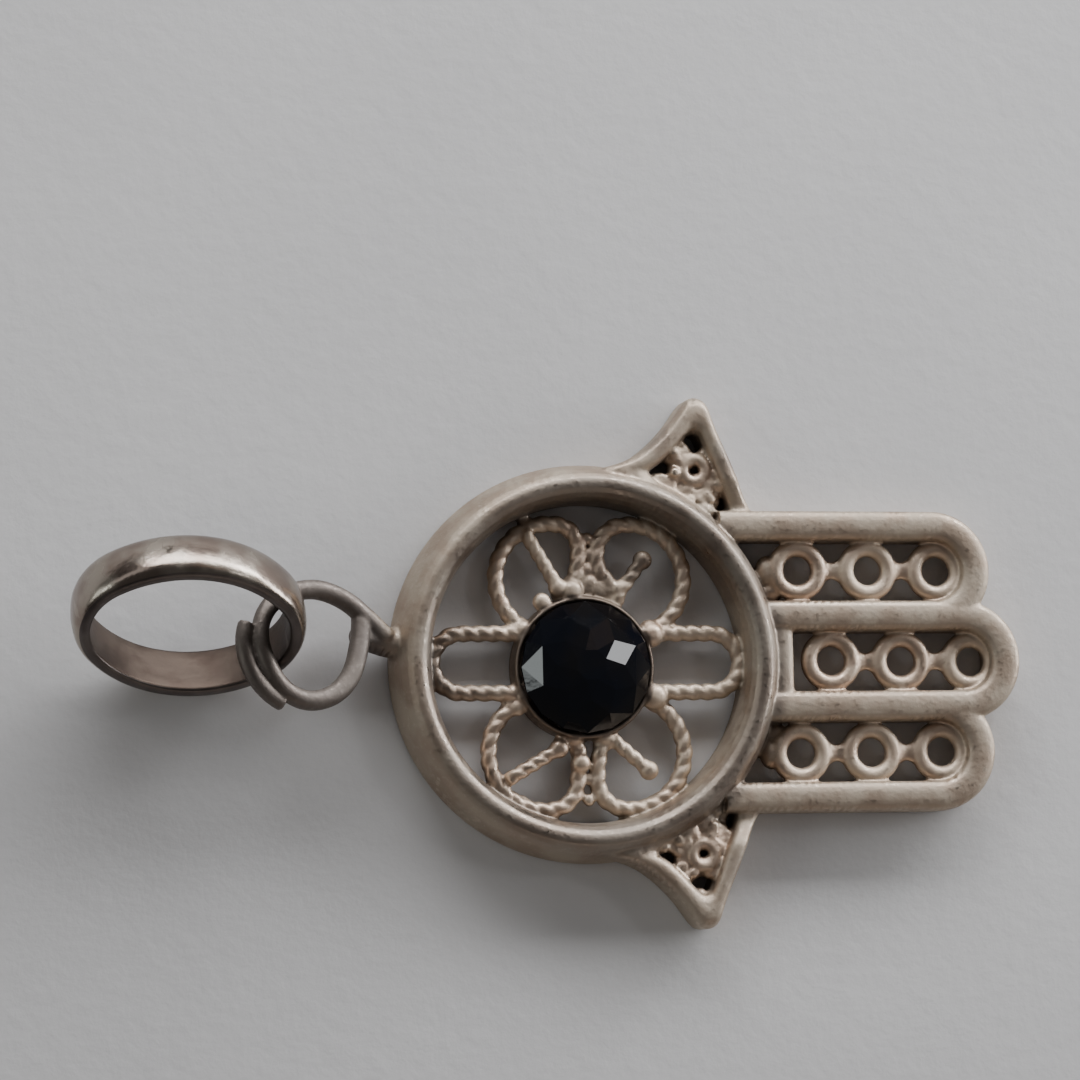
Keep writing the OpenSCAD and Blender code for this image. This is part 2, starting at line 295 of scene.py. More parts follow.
for y, last in RING_ROWS:
    for i in range(3):
        x = last - (2 - i) * RING_STEP
        add_ring(x, y)
        if i:
            add_web(x, y)

ROOT_SOLDER = (
    # x, y, z of the solder between the palm ring and the outer fingers, radius, stretch
    (5.86, 2.86, 0.55, 0.46, (0.8, 1.1, 0.8)),
    (6.05, 2.25, 0.5, 0.4, (1, 0.8, 0.8)),
)
for side in BOTH_SIDES:
    for x, y, z, r, stretch in ROOT_SOLDER:
        grain(x, y * side, z, r, stretch)

# Thumbs: a rim round a bed of solder, which holds a small ring and leaves four pits

THUMB_LEFT = ((0.3, 6.0), (1.25, 6.28), (1.95, 6.72), (2.6, 7.35), (3.08, 8.0), (3.2, 8.14))
# A nose is an arc: centre, radius, from and to in degrees
THUMB_NOSE = ((3.53, 7.85), 0.45, 128, 18)
THUMB_RIGHT = ((4.0, 7.85), (4.24, 7.2), (4.57, 6.47), (4.88, 5.7), (5.1, 5.18), (5.32, 4.78), (5.4, 4.55))
THUMB_FOOT = ((5.2, 4.2), (4.2, 4.1), (2.4, 5.15), (0.4, 5.6))
HOLE_LEFT = ((2.0, 5.95), (2.5, 6.3), (3.08, 6.9))
HOLE_NOSE = ((3.46, 6.93), 0.24, 125, 25)
HOLE_RIGHT = ((3.86, 6.6), (4.12, 5.9), (4.42, 5.2), (4.62, 4.7))
HOLE_FOOT = ((4.5, 4.4), (4.2, 4.4), (2.6, 5.3))
# A place inside the thumb that sees the whole rim
THUMB_MIDDLE = (3.5, 5.9)
RIM_SECTION = (
    # share of the way from hole to outline, height
    (0, 0.02), (0, 1.0), (0.1, 1.26), (0.26, 1.38), (0.5, 1.42), (0.76, 1.39), (0.91, 1.26), (1, 1.0),
    (1, 0.02),
)
# How much of its height the rim loses at the foot of its right leg, and where the leg sinks: past this x,
# from this distance from the hand's long axis, over this length
RIM_SINK = 0.22
SINK_X, SINK_FROM_Y, SINK_OVER = 4, 5.7, 0.8
OUTLINE_STEP = 0.01
# Middle, radius and height of the small ring, and the radius of its wire
THUMB_RING = ((3.47, 6.0), 0.36, 1.0)
THUMB_RING_WIRE = 0.2
# Lines under the two legs: a place on each, and how fast it rises or falls. The right one's y is set below.
LEFT_LEG_X, LEFT_LEG_Y, LEFT_LEG_RISE = 1.7, 5.15, 1.28
RIGHT_LEG_X, RIGHT_LEG_FALL = 3.55, 2.0
# The bed: a grid of grains, scattered a little, past this radius from the palm's middle and under the legs
BED_X, BED_Y = (1.9, 4.9), (4.3, 7.2)
BED_PALM_R, BED_LEG_Y = 5.9, 7.15
BED_STEP, BED_SCATTER = 0.16, 0.03
BED_Z, BED_Z_SCATTER, BED_SINK = 0.84, 0.05, 0.3
BED_GRAIN_R, BED_GRAIN_STRETCH, BED_GRAIN_ROWS = 0.21, (1, 1, 1.4), 5
PITS = (
    # x, y, half width, half height
    (3.47, 6.86, 0.22, 0.26), (2.5, 6.08, 0.2, 0.12), (3.47, 5.99, 0.15, 0.15), (4.42, 4.95, 0.13, 0.36),
)
PIT_MARGIN = 0.1


def by_angle(outline, n=120):
    """An outline as n points, at even angles round the thumb's middle."""
    q = resample(np.c_[outline, np.zeros(len(outline))], OUTLINE_STEP, True)[:, :2]
    a = np.mod(np.arctan2(q[:, 1] - THUMB_MIDDLE[1], q[:, 0] - THUMB_MIDDLE[0]), 2 * np.pi)
    order = np.argsort(a)
    even = np.linspace(0, 2 * np.pi, n, endpoint=False)
    return np.stack([np.interp(even, a[order], q[order, k], period=2 * np.pi) for k in range(2)], 1)


def at_foot(x, y):
    """How far the right leg has sunk towards the first finger, 0 to 1."""
    return np.clip((SINK_FROM_Y - y) / SINK_OVER, 0, 1) * (x > SINK_X)


def between_legs(x, y, palm_r, right_y):
    """True past the radius palm_r and under the lines of both legs."""
    left = LEFT_LEG_Y + LEFT_LEG_RISE * (x - LEFT_LEG_X)
    right = right_y - RIGHT_LEG_FALL * (x - RIGHT_LEG_X)
    return (np.hypot(x, y) > palm_r) & (y < left) & (y < right)


def in_pit(x, y):
    return any(np.hypot((x - px) / (w + PIT_MARGIN), (y - py) / (h + PIT_MARGIN)) < 1
               for px, py, w, h in PITS)


def add_rim(side):
    """The rim between the hole and the outline. A side of -1 mirrors it to the hand's other edge."""
    outline = np.vstack([smooth_curve(THUMB_LEFT), arc(*THUMB_NOSE, n=14)[:, :2],
                         smooth_curve(THUMB_RIGHT), THUMB_FOOT])
    hole = np.vstack([smooth_curve(HOLE_LEFT, 5), arc(*HOLE_NOSE, n=8)[:, :2],
                      smooth_curve(HOLE_RIGHT, 5), HOLE_FOOT])
    outline, hole = by_angle(outline) * (1, side), by_angle(hole) * (1, side)
    rows = []
    for share, z in RIM_SECTION:
        q = hole + (outline - hole) * share
        rows.append(np.c_[q, z * (1 - RIM_SINK * at_foot(q[:, 0], np.abs(q[:, 1])))])
    hand.add(*strip(np.stack(rows, 1)[::side], True))


def add_bed(side):
    """The small ring, and the grains of solder round it."""
    middle, r, z = THUMB_RING
    ring = arc(middle, r, 0, 350, z, 30) * (1, side, 1)
    hand.add(*tube(ring[::side], THUMB_RING_WIRE, loop=True))
    for x0 in np.arange(*BED_X, BED_STEP):
        for y0 in np.arange(*BED_Y, BED_STEP):
            x, y = x0 + rng.normal(0, BED_SCATTER), y0 + rng.normal(0, BED_SCATTER)
            if between_legs(x, y, BED_PALM_R, BED_LEG_Y) and not in_pit(x, y):
                z = BED_Z - BED_SINK * at_foot(x, y) + rng.normal(0, BED_Z_SCATTER)
                hand.add(*ball((x, y * side, z), BED_GRAIN_R, BED_GRAIN_STRETCH, BED_GRAIN_ROWS))


for side in BOTH_SIDES:
    add_rim(side)
    add_bed(side)

# Flower: each wire is a pair of strands wound round each other

# Radius of a strand, its distance from the middle of the pair, and the length of one turn
LOBE_TWIST = (0.212, 0.066, 0.92)
INNER_TWIST = (0.17, 0.07, 0.8)
STRAND_STEP = 0.05
LOBE_Z, INNER_Z, PETAL_Z = 0.48, 0.68, 0.58


def strands(path, reach, pitch, phase):
    """The middle lines of two strands wound round a path, at the distance reach from it."""
    a, b = carried_frames(path, False)
    turn = 2 * np.pi * length_along(path) / pitch + phase
    off = a * np.cos(turn)[:, None] + b * np.sin(turn)[:, None]
    return path + off * reach, path - off * reach


def add_twisted(path, strand_r, reach, pitch):
    for strand in strands(resample(path, STRAND_STEP), reach, pitch, random_phase()):
        hand.add(*tube(strand, strand_r, sides=12))


# Each lobe sweeps out from the seat, curls in at its top and comes back to the seat. Bearings in degrees
SWEEP_FROM, CURL_FROM, CURL_TO = -66, 100, 180
LOBES = (
    # quarter, centre, radius of the sweep, radius of the curl, way back to the seat
    ((1, 1), (1.45, 2.62), 1.72, 0.9, ((0.43, 3.0), (0.68, 2.6), (1.05, 2.2))),
    ((-1, 1), (1.1, 2.62), 1.74, 0.75, ((0.22, 3.1), (0.33, 2.6), (0.5, 2.1))),
    ((-1, -1), (1.4, 2.8), 1.76, 0.9, ((0.32, 3.2), (0.32, 2.8), (0.45, 2.2))),
    ((1, -1), (1.32, 2.8), 1.75, 0.9, ((0.28, 3.2), (0.36, 2.8), (0.5, 2.2))),
)
# Where a lobe starts, and the distance from the palm's middle at which it meets the palm ring
LOBE_START = (2.02, 1.02)
LOBE_MEETS_R = 4.8
# Height and radius of its drops of solder: at the start, at the end of the way back, and at the palm ring
START_DROP, END_DROP, PALM_DROP = (0.6, 0.34), (0.62, 0.3), (0.42, 0.24)


def add_lobe(quarter, centre, sweep_r, curl_r, back):
    qx, qy = quarter
    turn = math.radians(CURL_FROM)
    curl = np.array(centre) + (sweep_r - curl_r) * np.array([math.cos(turn), math.sin(turn)])
    home = [(curl[0] - curl_r, curl[1], LOBE_Z)] + [(x, y, LOBE_Z + 0.04) for x, y in back]
    path = np.vstack([arc(centre, sweep_r, SWEEP_FROM, CURL_FROM, LOBE_Z, 60)[:-1],
                      arc(curl, curl_r, CURL_FROM, CURL_TO, LOBE_Z, 24)[:-1], smooth_curve(home)])
    add_twisted(path * (qx, qy, 1), *LOBE_TWIST)
    grain(LOBE_START[0] * qx, LOBE_START[1] * qy, *START_DROP)
    grain(back[-1][0] * qx, (back[-1][1] + 0.1) * qy, *END_DROP)
    meets = np.array(centre) / np.hypot(*centre) * LOBE_MEETS_R
    grain(meets[0] * qx, meets[1] * qy, *PALM_DROP)


for lobe in LOBES:
    add_lobe(*lobe)

INNER_STRANDS = (
    # from x, y, to x, y, where a bead ends the strand
    (1.0, 2.1, 1.82, 3.2), (-1.86, 4.0, -0.9, 2.34), (-2.5, -3.55, -0.97, -2.66), (0.74, -2.38, 1.87, -3.36),
)
BEAD_R = 0.31
LONE_BEAD = (-0.29, -3.12, INNER_Z + 0.02)
for x0, y0, x1, y1 in INNER_STRANDS:
    add_twisted([(x0, y0, INNER_Z - 0.03), (x1, y1, INNER_Z)], *INNER_TWIST)
    grain(x1, y1, INNER_Z, BEAD_R)
grain(*LONE_BEAD, BEAD_R)

POOL_Z, SEAM_Z = 0.46, 0.5
POOL = (
    # x, y, radius of the flat solder between the two upper lobes
    (0.12, 2.4, 0.4), (0.52, 2.3, 0.42), (-0.38, 2.38, 0.4), (0.32, 2.78, 0.32), (0.92, 2.12, 0.4),
    (-0.75, 2.2, 0.36), (-0.1, 2.75, 0.3),
)
SEAMS = (
    # x, y, radius of the solder where neighbouring lobes touch
    (0.1, 3.9, 0.2), (0.12, 3.4, 0.2), (0.08, 2.9, 0.24), (0.15, 2.5, 0.3), (-0.02, -4.25, 0.2),
    (0.0, -3.6, 0.2), (-0.35, 2.35, 0.26), (0.75, 2.3, 0.3),
)
for x, y, r in POOL:
    grain(x, y, POOL_Z, r, (1, 1, 0.7))
for x, y, r in SEAMS:
    grain(x, y, SEAM_Z, r)

# Two long petals, along the hand, and the solder that holds them to the palm ring
PETAL_HALF_W = 0.92
PETAL_FROM_X, PETAL_END_X = 1.9, 3.98
PETAL_SOLDER_Z, PETAL_SOLDER_STRETCH = 0.5, (1, 1.3, 1)
PETAL_SOLDER = (
    # x, y, radius
    (4.93, 0.35, 0.26), (4.9, -0.3, 0.24),
)
for side in BOTH_SIDES:
    path = np.vstack([
        line((PETAL_FROM_X, -PETAL_HALF_W, PETAL_Z), (PETAL_END_X, -PETAL_HALF_W, PETAL_Z), 20)[:-1],
        arc((PETAL_END_X, 0), PETAL_HALF_W, -90, 90, PETAL_Z, 24),
        line((PETAL_END_X, PETAL_HALF_W, PETAL_Z), (PETAL_FROM_X, PETAL_HALF_W, PETAL_Z), 20)[1:]])
    add_twisted(path * (side, 1, 1), *LOBE_TWIST)
    for x, y, r in PETAL_SOLDER:
        grain(x * side, y, PETAL_SOLDER_Z, r, PETAL_SOLDER_STRETCH)

# Seat of the stone: the solder round it, and a cup with a soft rim

STONE_AT = (-0.14, -0.16)
SEAT_SOLDER_R = 2.42
SEAT_SOLDER = (
    # bearing in degrees, radius, height
    (25, 0.4, 0.7), (-22, 0.42, 0.7), (62, 0.26, 0.6), (98, 0.36, 0.7), (122, 0.3, 0.7), (150, 0.26, 0.6),
    (-150, 0.28, 0.6), (-108, 0.25, 0.6), (-72, 0.25, 0.6),
)
CUP = (
    # radius, height
    (0.001, 0.02), (2.24, 0.02), (2.26, 0.5), (2.22, 0.84), (2.17, 0.92), (2.12, 0.94), (2.09, 0.9),
    (2.085, 0.4), (0.001, 0.4),
)
for bearing, r, z in SEAT_SOLDER:
    t = math.radians(bearing)
    x, y = STONE_AT[0] + SEAT_SOLDER_R * math.cos(t), STONE_AT[1] + SEAT_SOLDER_R * math.sin(t)
    grain(x, y, z, r, (1, 1, 0.8))
hand.add(*lathe(CUP, STONE_AT, 120))

# Hanging loop: a wire turned a little more than once, its ends side by side, and the solder neck

LOOP_AT = (-9.05, 0.45)
LOOP_Z = 1.77
# Tilt of the loop's plane about X and about Y, in degrees
LOOP_ROLL, LOOP_RISE = -12, 15
LOOP_WIRE, TAIL_WIRE = 0.315, 0.26
# Where along the wire the bail has worn it, how far that reaches, and how much thinner the wire is there
WORN_AT, WORN_REACH, WORN_BY = 0.45, 0.25, 0.045
LOOP_TURN = (
    # bearing in the loop's own plane, radius, height above that plane
    (11, 2.75, 0.02), (17, 2.55, 0.03), (29, 2.3, 0.03), (45, 2.13, 0.02), (58, 2.02, 0), (74, 1.9, 0),
    (92, 1.76, 0), (112, 1.68, 0), (132, 1.6, 0), (155, 1.52, 0.03), (180, 1.45, 0.09), (205, 1.45, 0.13),
    (225, 1.52, 0.1), (245, 1.62, 0.04), (270, 1.71, 0), (300, 1.72, 0), (330, 1.71, 0), (355, 1.76, 0),
    (374, 1.95, 0), (386, 2.16, 0),
)
LOOP_TAIL = (
    # bearing, radius and height, as above
    (-112, 1.98, -0.08), (-125, 1.99, -0.04), (-140, 2.0, 0), (-160, 1.99, 0), (-180, 1.98, 0),
    (-197, 1.95, 0),
)
NECK = ((-7.2, 0.8, 1.0), (-6.9, 0.75, 0.88), (-6.4, 0.66, 0.74), (-5.85, 0.6, 0.65))
NECK_R = (0.36, 0.52)
LOOP_STEP = 0.08


def turned(about_x, second, axis):
    """A turn by second degrees about the named axis, and then one about X."""
    first = Matrix.Rotation(math.radians(second), 3, axis)
    return np.array(Matrix.Rotation(math.radians(about_x), 3, "X") @ first)


def loop_path(keys):
    k = smooth_curve(keys, 10)
    a = np.radians(k[:, 0])
    flat = np.c_[k[:, 1] * np.cos(a), k[:, 1] * np.sin(a), k[:, 2]]
    return resample(flat @ turned(LOOP_ROLL, LOOP_RISE, "Y").T + (*LOOP_AT, LOOP_Z), LOOP_STEP)


whole_turn = loop_path(LOOP_TURN)
worn = np.clip(1 - np.abs(np.linspace(0, 1, len(whole_turn)) - WORN_AT) / WORN_REACH, 0, 1)
hand.add(*tube(whole_turn, LOOP_WIRE - WORN_BY * worn, sides=18))
hand.add(*tube(loop_path(LOOP_TAIL), TAIL_WIRE, sides=18, round_ends=False))
neck = smooth_curve(NECK, 4)
hand.add(*tube(neck, np.linspace(*NECK_R, len(neck)), sides=18))


# One skin from all the shells, and objects from the skin

def largest_island(quads, count):
    """The faces joined to the main skin, without the tiny closed bubbles that melting leaves inside."""
    label = np.arange(count)
    while True:
        lower = label.copy()
        np.minimum.at(lower, quads.ravel(), np.repeat(label[quads].min(1), 4))
        lower = lower[lower]
        if (lower == label).all():
            break
        label = lower
    of_face = label[quads[:, 0]]
    return quads[of_face == np.bincount(of_face).argmax()]


def read_mesh(rows, attribute, width, kind):
    """One attribute of all a mesh's vertices, loops or polygons, as an array of this width."""
    out = np.zeros(len(rows) * width, kind)
    rows.foreach_get(attribute, out)
    return out.reshape(-1, width) if width > 1 else out


def melted_skin(shells, voxel, rounds, factor):
    """Melts overlapping shells into one skin and softens it, as solder and wear do."""
    ob = bpy.data.objects.new("melt", shells.mesh("melt"))
    bpy.context.scene.collection.objects.link(ob)
    melt = ob.modifiers.new("melt", "REMESH")
    melt.mode = "VOXEL"
    melt.voxel_size = voxel
    melt.use_smooth_shade = True
    soft = ob.modifiers.new("soft", "SMOOTH")
    soft.factor = factor
    soft.iterations = rounds
    me = bpy.data.meshes.new_from_object(ob.evaluated_get(bpy.context.evaluated_depsgraph_get()))
    bpy.data.objects.remove(ob)
    v = read_mesh(me.vertices, "co", 3, float)
    normals = read_mesh(me.vertices, "normal", 3, float)
    corners = read_mesh(me.loops, "vertex_index", 1, int)
    start = read_mesh(me.polygons, "loop_start", 1, int)
    bpy.data.meshes.remove(me)
    return v, largest_island(corners[start[:, None] + np.arange(4)], len(v)), normals


def piece(name, v, f, material, normals=None):
    """A smooth-shaded object in metres, from points in millimetres."""
    used, inverse = np.unique(np.asarray(f), return_inverse=True)
    f = inverse.reshape(np.asarray(f).shape)
    me = bpy.data.meshes.new(name)
    me.from_pydata((v[used] * MM).tolist(), [], f.tolist())
    me.polygons.foreach_set("use_smooth", np.ones(len(me.polygons), bool))
    if normals is not None:
        me.normals_split_custom_set_from_vertices(normals[used].tolist())
    me.materials.append(material)
    ob = bpy.data.objects.new(name, me)
    bpy.context.scene.collection.objects.link(ob)
    return ob


# Helpers for materials, which take a number, a colour or another node's output

# Sockets of a Mix node that mixes colours
MIX_FACTOR, MIX_A, MIX_B, MIXED = 0, 6, 7, 2


def material_of(name):
    m = bpy.data.materials.new(name)
    m.use_nodes = True
    t = m.node_tree
    t.nodes.clear()
    out = t.nodes.new("ShaderNodeOutputMaterial")
    bsdf = t.nodes.new("ShaderNodeBsdfPrincipled")
    t.links.new(bsdf.outputs[0], out.inputs[0])
    return m, t, bsdf


def feed(t, value, socket):
    """Gives a socket another node's output, a number, or a colour of three numbers."""
    if hasattr(value, "is_linked"):
        t.links.new(value, socket)
    else:
        socket.default_value = (*value, 1) if isinstance(value, tuple) else value


def mixer(t, factor, a, b):
    """Colour a where the factor is 0 and b where it is 1."""
    n = t.nodes.new("ShaderNodeMix")
    n.data_type = "RGBA"
    feed(t, factor, n.inputs[MIX_FACTOR])
    feed(t, a, n.inputs[MIX_A])
    feed(t, b, n.inputs[MIX_B])
    return n.outputs[MIXED]


def ramp(t, value, low, high, at_low=0.0, at_high=1.0):
    """A smooth step from at_low, where the value is low or less, to at_high, where it is high or more."""
    n = t.nodes.new("ShaderNodeMapRange")
    n.interpolation_type = "SMOOTHSTEP"
    for i, v in enumerate((value, low, high, at_low, at_high)):
        feed(t, v, n.inputs[i])
    return n.outputs[0]


def calc(t, op, a, b=0.0):
    n = t.nodes.new("ShaderNodeMath")
    n.operation = op
    feed(t, a, n.inputs[0])
    feed(t, b, n.inputs[1])
    return n.outputs[0]


def times(t, a, b):
    return calc(t, "MULTIPLY", a, b)


def plus(t, a, b):
    return calc(t, "ADD", a, b)


def minus(t, a, b):
    return calc(t, "SUBTRACT", a, b)


def object_place(t):
    return t.nodes.new("ShaderNodeTexCoord").outputs["Object"]


def noise_of(t, scale, detail=3.0):
    """Noise over the object, with about scale features to the metre."""
    n = t.nodes.new("ShaderNodeTexNoise")
    n.inputs["Scale"].default_value = scale
    n.inputs["Detail"].default_value = detail
    n.inputs["Roughness"].default_value = 0.55
    t.links.new(object_place(t), n.inputs["Vector"])
    return n.outputs["Fac"]


def split(t, vector):
    n = t.nodes.new("ShaderNodeSeparateXYZ")
    t.links.new(vector, n.inputs[0])
    return n.outputs


def from_axis(t, x, y):
    """Distance, in metres, from the upright axis through (x, y) millimetres."""
    at = split(t, object_place(t))
    dx, dy = minus(t, at[0], x * MM), minus(t, at[1], y * MM)
    return calc(t, "SQRT", plus(t, times(t, dx, dx), times(t, dy, dy)))


def bumped(t, bsdf, height, strength, depth):
    """Relief of this depth in millimetres."""
    n = t.nodes.new("ShaderNodeBump")
    n.inputs["Strength"].default_value = strength
    n.inputs["Distance"].default_value = depth * MM
    t.links.new(height, n.inputs["Height"])
    t.links.new(n.outputs[0], bsdf.inputs["Normal"])


# Silver. Noise scales are in features to the metre, and lengths in millimetres

BLOTCH_SCALE, FINE_SCALE, LUMP_SCALE, PATCH_SCALE = 700.0, 6000.0, 1800.0, 420.0
HOLLOW_REACH = 0.75
RELIEF = 0.03
MARKS_SCALE = 1350.0
MARKS_SLANT = 24
# The file marks are faint up to the first radius, on the palm ring, and full from the second
MARKS_FROM_R, MARKS_FULL_R = 6.1, 6.4


def darkened_band(t, x, y, inner, outer, soft):
    """1 between two radii round an axis, falling to 0 over the softness."""
    d = from_axis(t, x, y)
    band = ramp(t, d, outer * MM, (outer + soft) * MM, 1.0, 0.0)
    if inner > 0:
        band = times(t, ramp(t, d, (inner - soft) * MM, inner * MM), band)
    return band


def file_marks(t, normal):
    """Slanting file marks on the flanks that face along Y, in patches."""
    wave = t.nodes.new("ShaderNodeTexWave")
    wave.wave_type = "BANDS"
    wave.bands_direction = "X"
    wave.inputs["Scale"].default_value = MARKS_SCALE
    wave.inputs["Distortion"].default_value = 4.5
    wave.inputs["Detail"].default_value = 2.0
    wave.inputs["Detail Scale"].default_value = 1.4
    turn = t.nodes.new("ShaderNodeMapping")
    turn.inputs["Rotation"].default_value = (0.0, 0.0, math.radians(MARKS_SLANT))
    t.links.new(object_place(t), turn.inputs["Vector"])
    t.links.new(turn.outputs[0], wave.inputs["Vector"])
    flank = ramp(t, calc(t, "ABSOLUTE", split(t, normal)[1]), 0.35, 0.8)
    patches = ramp(t, noise_of(t, PATCH_SCALE, 2.0), 0.42, 0.62, 0.25, 1.4)
    past_palm = ramp(t, from_axis(t, 0, 0), MARKS_FROM_R * MM, MARKS_FULL_R * MM, 0.25, 1.5)
    return times(t, wave.outputs["Fac"], times(t, times(t, flank, patches), past_palm))


def silver(name, bright, warm, dark, rough, patina_and_shade_depth, darkening=(), grainy=0.35, glint=0.0, marks=False):
    """Worn silver: bright and warm patches, polished edges, hollows that turn dark with patina and painted
    shade, and darkened bands, some of them painted shade.

    rough is the roughness at the two ends of the patches, the argument after it how dark the hollows get from
    patina and painted shade, grainy the height of the fine relief, and glint how much smoother the small
    bright points are.
    """
    m, t, b = material_of(name)
    blotch = noise_of(t, BLOTCH_SCALE)
    fine = noise_of(t, FINE_SCALE)
    geometry = t.nodes.new("ShaderNodeNewGeometry")
    # Patina and painted shade: hollows found by occlusion turn towards the dark colour
    shade = t.nodes.new("ShaderNodeAmbientOcclusion")
    shade.samples = 6
    shade.inputs["Distance"].default_value = HOLLOW_REACH * MM
    hollow_patina_and_shade = ramp(t, shade.outputs["AO"], 0.15, 0.7, patina_and_shade_depth, 0.0)
    edge = ramp(t, geometry.outputs["Pointiness"], 0.5, 0.56)

    base = mixer(t, ramp(t, blotch, 0.38, 0.62), warm, bright)
    base = mixer(t, times(t, edge, 0.5), base, tuple(1.15 * c for c in bright))
    r = plus(t, ramp(t, blotch, 0.35, 0.7, *rough), times(t, hollow_patina_and_shade, 0.15))
    r = minus(t, r, times(t, edge, 0.1))
    r = minus(t, r, ramp(t, fine, 0.56, 0.66, 0.0, glint))
    # Darkened bands, among them painted shade on the palm ring and on the neck
    for x, y, inner, outer, soft, strength, polish in darkening:
        band = darkened_band(t, x, y, inner, outer, soft)
        base = mixer(t, times(t, band, strength), base, dark)
        if polish:
            r = minus(t, r, times(t, band, polish))
    base = mixer(t, hollow_patina_and_shade, base, dark)
    t.links.new(base, b.inputs["Base Color"])
    t.links.new(r, b.inputs["Roughness"])
    b.inputs["Metallic"].default_value = 1.0

    height = plus(t, times(t, fine, grainy), noise_of(t, LUMP_SCALE, 2.0))
    if marks:
        height = plus(t, height, file_marks(t, geometry.outputs["Normal"]))
    bumped(t, b, height, strength=0.5, depth=RELIEF)
    return m


# Bands where the silver turns darker; those on the palm ring and on the neck of the loop are painted shade
DARKENED_BANDS = (
    # axis x, y, inner radius, outer radius, softness, strength, how much smoother
    # palm ring, over its crown at the right and its inner edge at the left: painted shade
    (0.38, -0.12, 5.05, 5.65, 0.45, 0.5, 0.1),
    # rim of the seat
    (*STONE_AT, 2.0, 2.22, 0.1, 0.85, 0),
    # end of the upper right strand
    (1.6, 2.95, 0.0, 0.35, 0.3, 0.7, 0),
    # hanging loop
    (*LOOP_AT, 0.0, 2.3, 0.6, 0.85, 0),
    # left petal
    (-3.8, 0.0, 0.0, 1.0, 0.6, 0.5, 0),
    # neck of the loop: painted shade
    (-6.7, 0.5, 0.0, 0.5, 0.45, 0.4, 0),
    # solder between the upper lobes
    (0.1, 2.65, 0.0, 0.6, 0.4, 0.35, 0),
    # right legs of the thumbs, and the left leg of the upper one
    (4.95, 6.6, 0.0, 0.5, 0.5, 0.55, 0),
    (4.95, -6.6, 0.0, 0.5, 0.5, 0.35, 0),
    (2.0, 7.1, 0.0, 0.35, 0.5, 0.3, 0),
)
SILVER = silver(
    "silver_worn", bright=(0.52, 0.447, 0.365), warm=(0.445, 0.355, 0.28), dark=(0.155, 0.138, 0.13),
    rough=(0.56, 0.7), patina_and_shade_depth=0.35, darkening=DARKENED_BANDS, grainy=0.8, glint=0.14, marks=True)
WIRE_SILVER = silver(
    "silver_wire", bright=(0.63, 0.525, 0.42), warm=(0.56, 0.43, 0.335), dark=(0.15, 0.12, 0.10),
    rough=(0.52, 0.66), patina_and_shade_depth=0.65, darkening=DARKENED_BANDS, grainy=0.8, glint=0.14)
BAIL_SILVER = silver(
    "silver_bail", bright=(0.37, 0.325, 0.275), warm=(0.26, 0.205, 0.172), dark=(0.07, 0.058, 0.052),
    rough=(0.21, 0.31), patina_and_shade_depth=0.8)
# Darker copies of the bail's silver for its rim and its inside: painted shade
BAIL_RIM_PAINTED_SHADE = silver(
    "silver_bail_rim_painted_shade", bright=(0.15, 0.13, 0.12), warm=(0.1, 0.085, 0.08), dark=(0.05, 0.042, 0.04),
    rough=(0.4, 0.5), patina_and_shade_depth=0.8)
BAIL_INSIDE_PAINTED_SHADE = silver(
    "silver_bail_inside_painted_shade", bright=(0.11, 0.085, 0.07), warm=(0.075, 0.055, 0.045), dark=(0.05, 0.04, 0.035),
    rough=(0.45, 0.55), patina_and_shade_depth=0.8)


# Stone and paper

def two_tone(name, patches, tones, roughness, relief):
    """A plain material in two near tones.

    patches is the scale and detail of a noise, and the two values of it between which one tone turns into
    the other. relief is the scale and detail of another noise, and its strength and depth.
    """
    m, t, b = material_of(name)
    scale, detail, low, high = patches
    t.links.new(mixer(t, ramp(t, noise_of(t, scale, detail), low, high), *tones), b.inputs["Base Color"])
    b.inputs["Roughness"].default_value = roughness
    scale, detail, strength, depth = relief
    bumped(t, b, noise_of(t, scale, detail), strength, depth)
    return m, b


STONE_GLOSS, stone_shader = two_tone(
    "dark_stone_gloss", patches=(500.0, 2.0, 0.4, 0.65),
    tones=((0.002, 0.003, 0.006), (0.005, 0.0045, 0.005)),
    roughness=0.06, relief=(3000.0, 2.0, 0.08, 0.02))
stone_shader.inputs["IOR"].default_value = 1.52
PAPER_PALE, _ = two_tone(
    "paper_pale", patches=(60.0, 4.0, 0.3, 0.7), tones=((0.67, 0.665, 0.67), (0.715, 0.71, 0.712)),
    roughness=0.9, relief=(1500.0, 4.0, 0.25, 0.09))

# The hand, cut from its skin into pieces of fewer than 200,000 triangles

VOXEL = 0.05
# Radii from the palm's middle: the flower is cut off at the first, and the other pieces start past theirs
FLOWER_R, FRAMES_R, RINGS_R, THUMBS_R, LOOP_R = 4.9, 5.9, 6.62, 6.15, 6.15
# The rings of a finger lie this near to its middle line, and those of the middle one start past its foot
RING_HALF_W = 0.93
FOOT_END_X = 6.75
# Where frames, thumbs and loop start along the hand, and how far from its long axis frames and thumbs part
FRAMES_X, THUMBS_X, LOOP_X = 4.2, 0.2, -5.5
FRAMES_HALF_W, THUMBS_HALF_W = 4.9, 3.9
# The bed in the thumbs has the colour of the wire: x, distance from the long axis, and two heights
WIRE_BED_X, WIRE_BED_Y, WIRE_BED_Z = 1.5, 4.95, (0.3, 1.25)
WIRE_BED_PALM_R, WIRE_BED_LEG_Y = 6.05, 7.1

v, f, normals = melted_skin(hand, VOXEL, rounds=3, factor=0.5)
x, y, z = v[f].mean(1).T
wide = np.abs(y)
from_middle = np.hypot(x, y)

